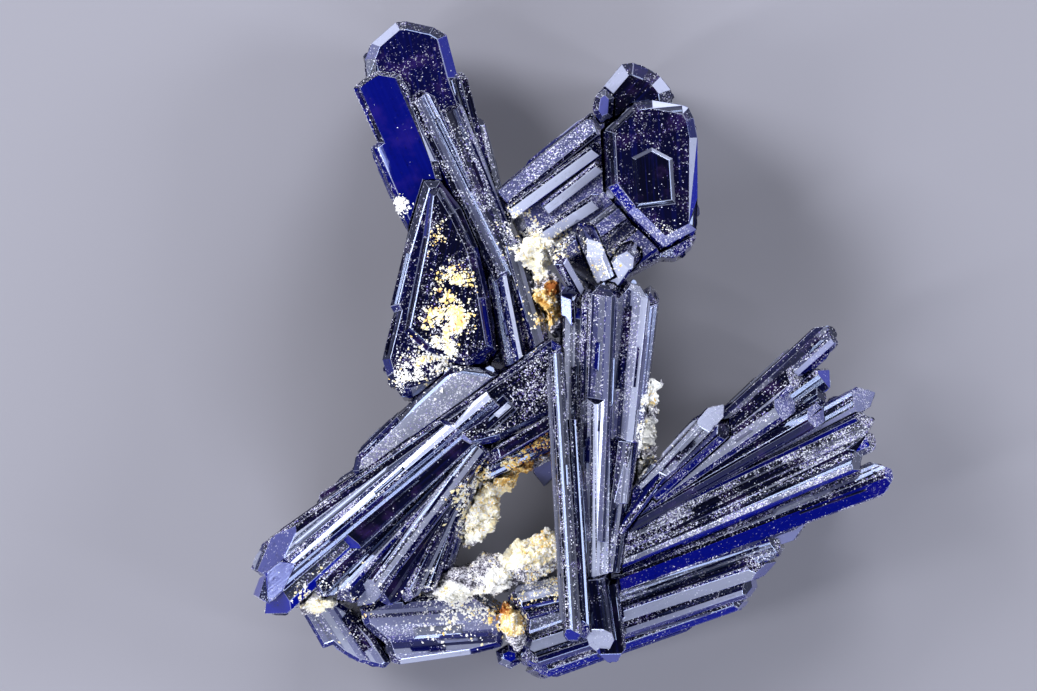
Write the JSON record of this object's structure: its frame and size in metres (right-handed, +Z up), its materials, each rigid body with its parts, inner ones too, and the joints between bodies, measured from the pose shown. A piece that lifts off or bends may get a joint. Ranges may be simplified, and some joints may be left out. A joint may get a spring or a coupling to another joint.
{
  "type": "azurite crystal cluster",
  "caption": "Natural cluster of dark blue azurite blades, fans and prisms with cream clay crusts between them, lying on its back as a display specimen.",
  "frame": {"origin": "middle of the bounding box at the surface the cluster lies on", "axes": "+Z up out of the surface, towards the viewer; +X to the viewer's right, towards the right fan; +Y towards the tall upper blades"},
  "size_m": [0.0514, 0.0526, 0.0204],
  "materials": {
    "azurite": "gloss",
    "clay": "matte"
  },
  "bodies": {
    "root": {"needle": "azurite", "short_prism": "azurite", "column": "azurite", "left_fan": "azurite", "inner_spears": "azurite", "right_fan": "azurite", "side_plate": "azurite", "wedge_crystal": "azurite", "junction_crystal_1": "azurite", "junction_crystal_2": "azurite", "junction_crystal_3": "azurite", "junction_crystal_4": "azurite", "upper_left_blades": "azurite", "upper_right_block": "azurite", "upper_right_bud": "azurite", "upper_right_back": "azurite", "striated_plate": "azurite", "window_crystal": "azurite", "lower_bars": "azurite", "lower_left_crystal": "azurite", "bottom_chip": "azurite", "crust_above_column": "clay", "crust_left_of_hole": "clay", "crust_below_hole": "clay", "crust_beside_column": "clay", "crust_on_wedge": "clay", "crust_at_fan_foot": "clay", "crust_on_lower_bars": "clay"}
  },
  "joints": []
}
